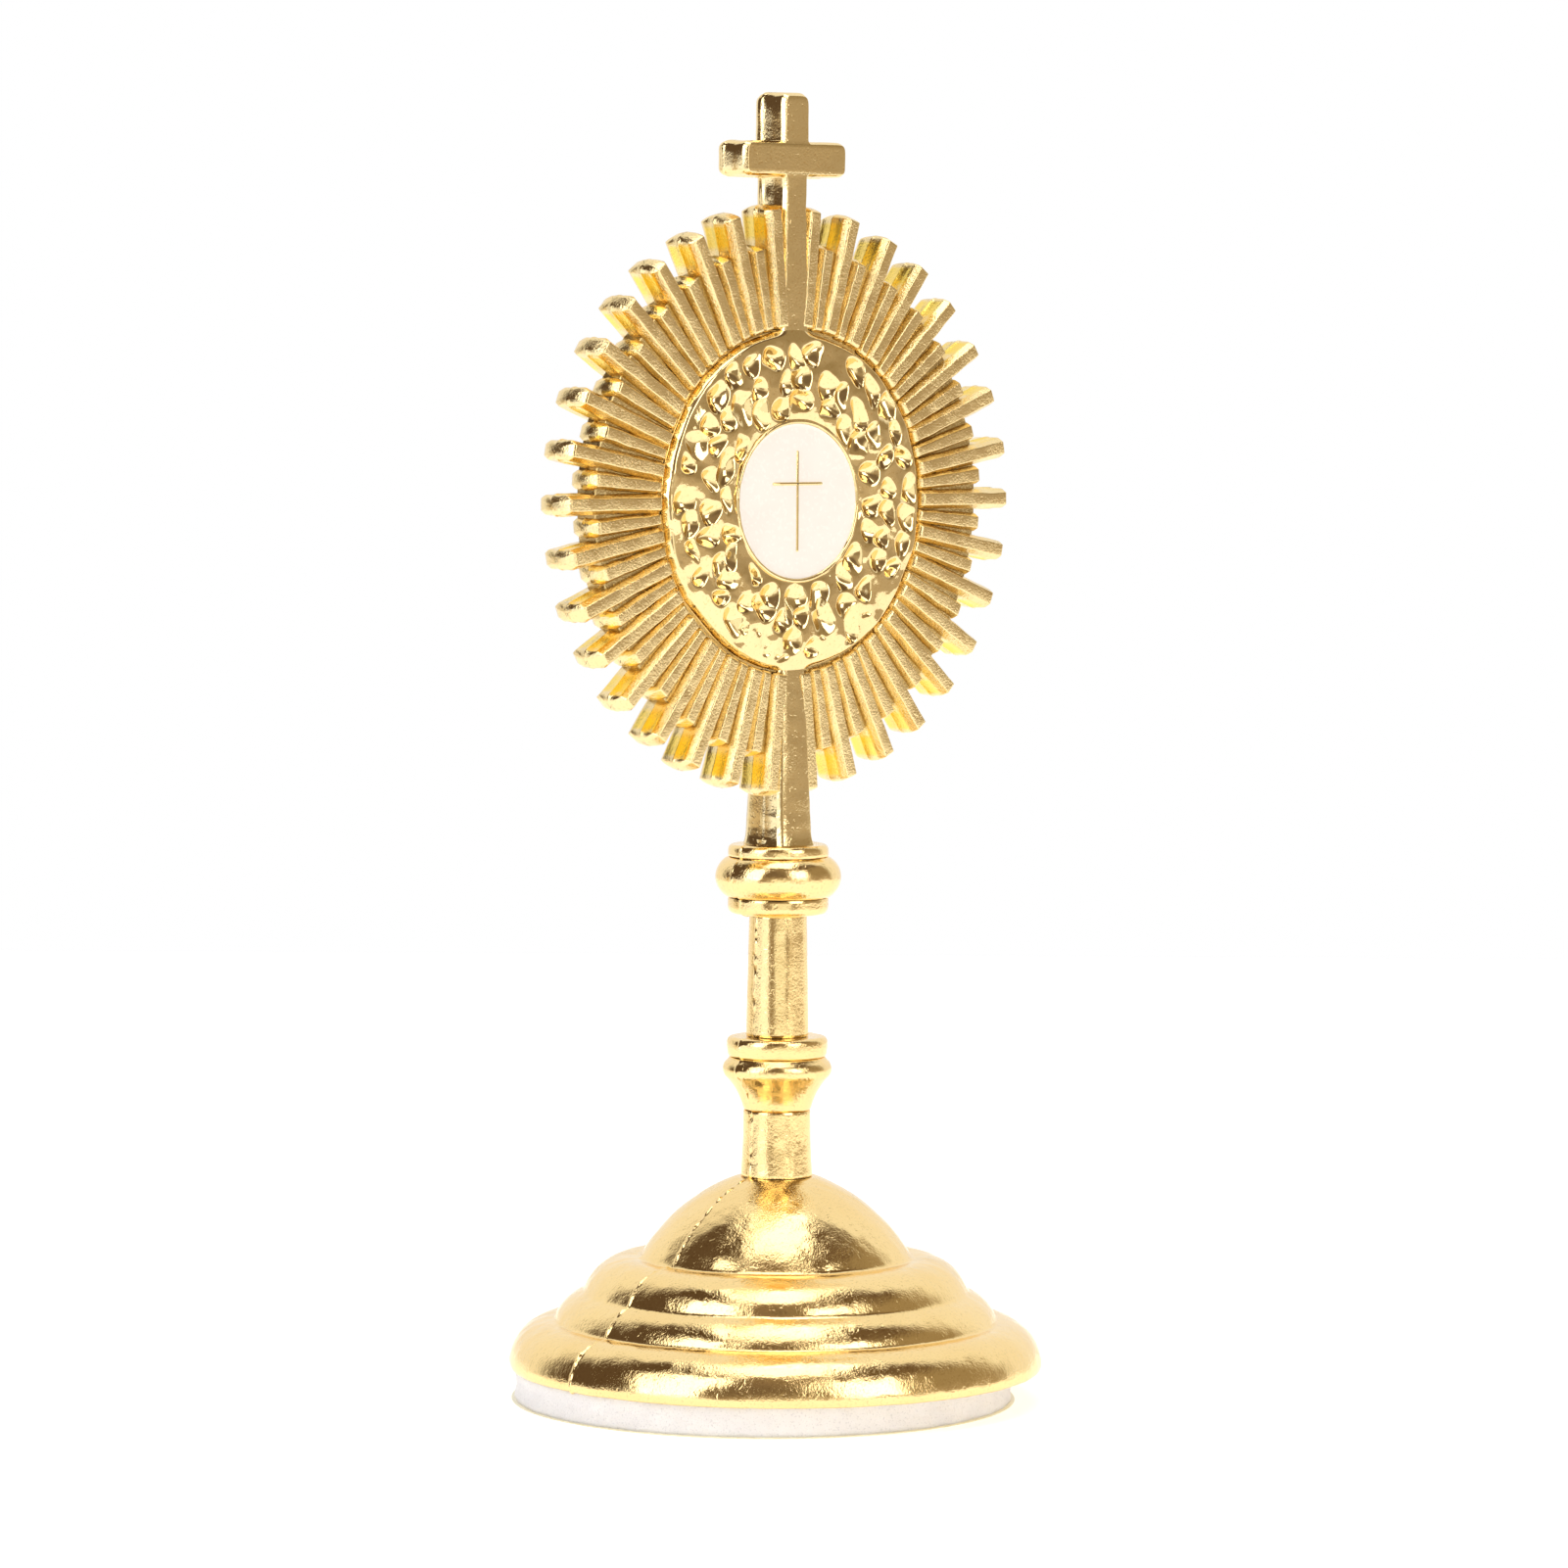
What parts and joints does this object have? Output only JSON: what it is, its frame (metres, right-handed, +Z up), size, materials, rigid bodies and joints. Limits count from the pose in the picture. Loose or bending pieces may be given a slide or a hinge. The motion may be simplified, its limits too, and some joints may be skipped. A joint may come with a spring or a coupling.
{
  "type": "monstrance",
  "caption": "Small gilt table monstrance: sunburst with cross, nimbus and white enamelled host on a knopped stem and stepped round foot with adhesive foam pad.",
  "frame": {"origin": "centre of the foot on the surface that the object stands on, at the bottom of the release liner", "axes": "+Z up the stem, -Y towards the viewer of the front host, +X to that viewer's right"},
  "size_m": [0.0376, 0.034, 0.0828],
  "materials": {
    "gilt_metal": "bright gold plate over a pitted zinc casting",
    "host_enamel": "smooth white enamel, satin gloss",
    "foam": "matt white closed-cell foam",
    "liner_film": "pale yellow waxed release paper",
    "screw_steel": "zinc-plated steel"
  },
  "bodies": {
    "liner": {"release_liner": "liner_film"},
    "monstrance": {"foam_pad": "foam", "foot": "gilt_metal", "washer": "screw_steel", "tie_screw": "screw_steel", "lower_stem": "gilt_metal", "collar_cone": "gilt_metal", "collar_ring": "gilt_metal", "upper_stem": "gilt_metal", "knop_lower_ring": "gilt_metal", "knop": "gilt_metal", "knop_upper_ring": "gilt_metal", "neck": "gilt_metal", "sunburst": "gilt_metal", "cross": "gilt_metal", "nimbus_front": "gilt_metal", "nimbus_back": "gilt_metal", "host_bezel_front": "gilt_metal", "host_bezel_back": "gilt_metal", "host_front": "host_enamel", "host_back": "host_enamel", "host_emblem_front": "gilt_metal", "host_emblem_back": "gilt_metal"}
  },
  "joints": [
    {"name": "liner_peel", "type": "slide", "parent": "liner", "child": "monstrance", "axis": [0, 0, 1], "range_m": [0, 0.02]}
  ]
}
